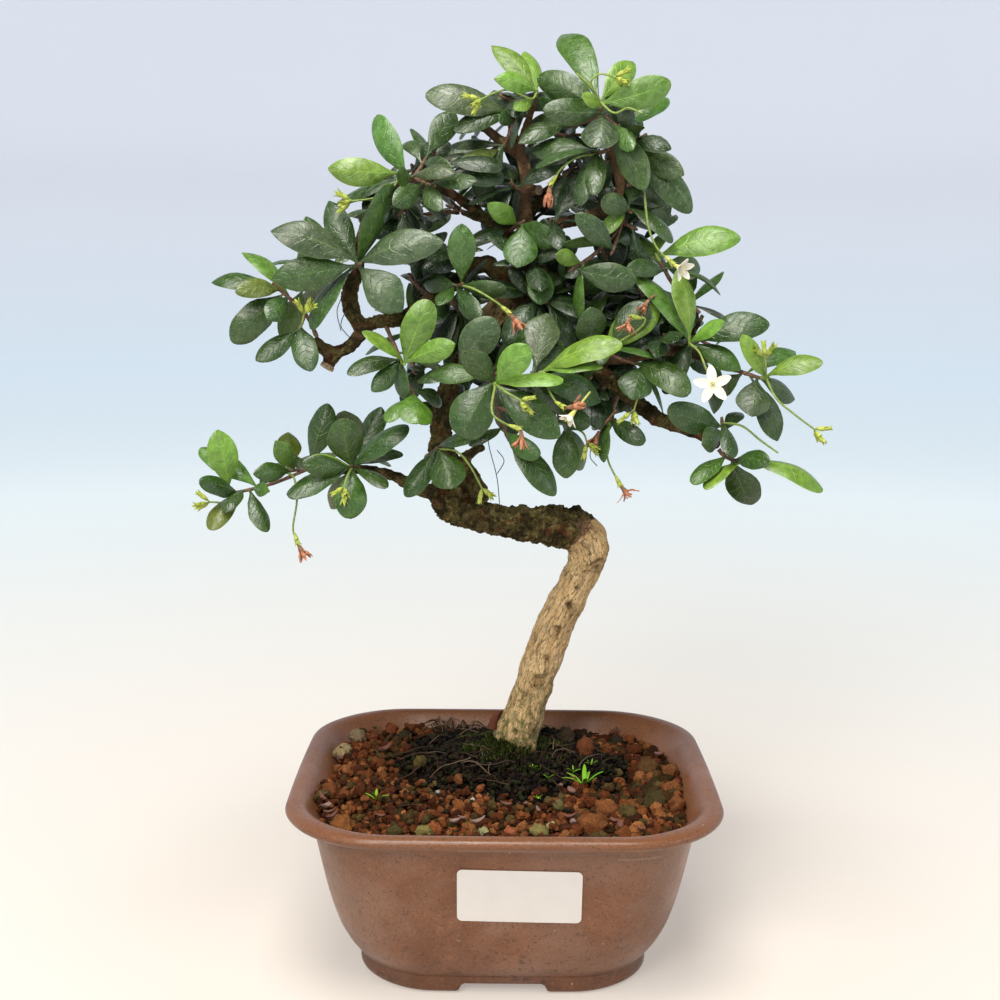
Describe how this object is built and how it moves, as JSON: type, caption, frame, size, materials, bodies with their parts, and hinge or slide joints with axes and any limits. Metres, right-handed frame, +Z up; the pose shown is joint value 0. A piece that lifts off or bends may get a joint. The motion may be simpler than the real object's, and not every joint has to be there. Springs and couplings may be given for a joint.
{
  "type": "fukien tea bonsai in a glazed pot",
  "caption": "Small evergreen tree with a bent trunk, glossy oval leaves and a few white star flowers, standing in a rounded rectangular brown glazed pot.",
  "frame": {"origin": "centre of the whole object's footprint box, on the surface that the pot's foot stands on", "axes": "+Z up along the tree; +X to the right and -Y towards the viewer, facing the pot's long front side with the label"},
  "size_m": [0.2224, 0.155, 0.3277],
  "materials": {
    "pot_glaze": "brown stoneware glaze, satin gloss, warmer and shinier on the rim",
    "akadama": "matt red-brown clay granules",
    "humus": "damp black humus with moss",
    "bark": "rough bark, pale tan and cracked below, darker above",
    "leaf_dark": "deep green leaf with a soft gloss",
    "leaf_fresh": "light yellow-green young leaf",
    "petal_white": "thin white petal",
    "petal_dried": "withered salmon-brown petal",
    "label_paper": "blank white sticker"
  },
  "bodies": {
    "root": {"akadama_granules": "akadama", "flower_dried_centre": "petal_dried", "flower_dried_low": "petal_dried", "flower_dried_low_left": "petal_dried", "flower_dried_low_right": "petal_dried", "flower_dried_middle": "petal_dried", "flower_dried_right": "petal_dried", "flower_dried_top": "petal_dried", "flower_half_open": "petal_white", "flower_open": "petal_white", "fresh_centre": "leaf_fresh", "fresh_centre_right": "leaf_fresh", "fresh_crest": "leaf_fresh", "fresh_far_right": "leaf_fresh", "fresh_low_left": "leaf_fresh", "fresh_low_right": "leaf_fresh", "fresh_mid_left": "leaf_fresh", "fresh_right": "leaf_fresh", "fresh_right_back": "leaf_fresh", "fresh_top_left": "leaf_fresh", "fresh_top_right": "leaf_fresh", "label": "label_paper", "pot": "pot_glaze", "root_ball": "humus", "spray_back_far_left": "leaf_dark", "spray_back_far_right": "leaf_dark", "spray_back_left": "leaf_dark", "spray_back_low": "leaf_dark", "spray_back_low_left": "leaf_dark", "spray_back_middle": "leaf_dark", "spray_back_right": "leaf_dark", "spray_back_top": "leaf_dark", "spray_back_upper_left": "leaf_dark", "spray_centre": "leaf_dark", "spray_centre_left": "leaf_dark", "spray_centre_right": "leaf_dark", "spray_crest": "leaf_dark", "spray_far_left": "leaf_dark", "spray_far_right": "leaf_dark", "spray_left": "leaf_dark", "spray_low_left": "leaf_dark", "spray_low_left_mid": "leaf_dark", "spray_low_right": "leaf_dark", "spray_mid_left": "leaf_dark", "spray_mid_right": "leaf_dark", "spray_right": "leaf_dark", "spray_right_back": "leaf_dark", "spray_right_shoulder": "leaf_dark", "spray_top_arch": "leaf_dark", "spray_top_left": "leaf_dark", "spray_top_right": "leaf_dark", "spray_trunk_low": "leaf_dark", "spray_trunk_top": "leaf_dark", "spray_under_centre": "leaf_dark", "spray_under_crest": "leaf_dark", "spray_upper_right": "leaf_dark", "trunk": "bark"}
  },
  "joints": []
}
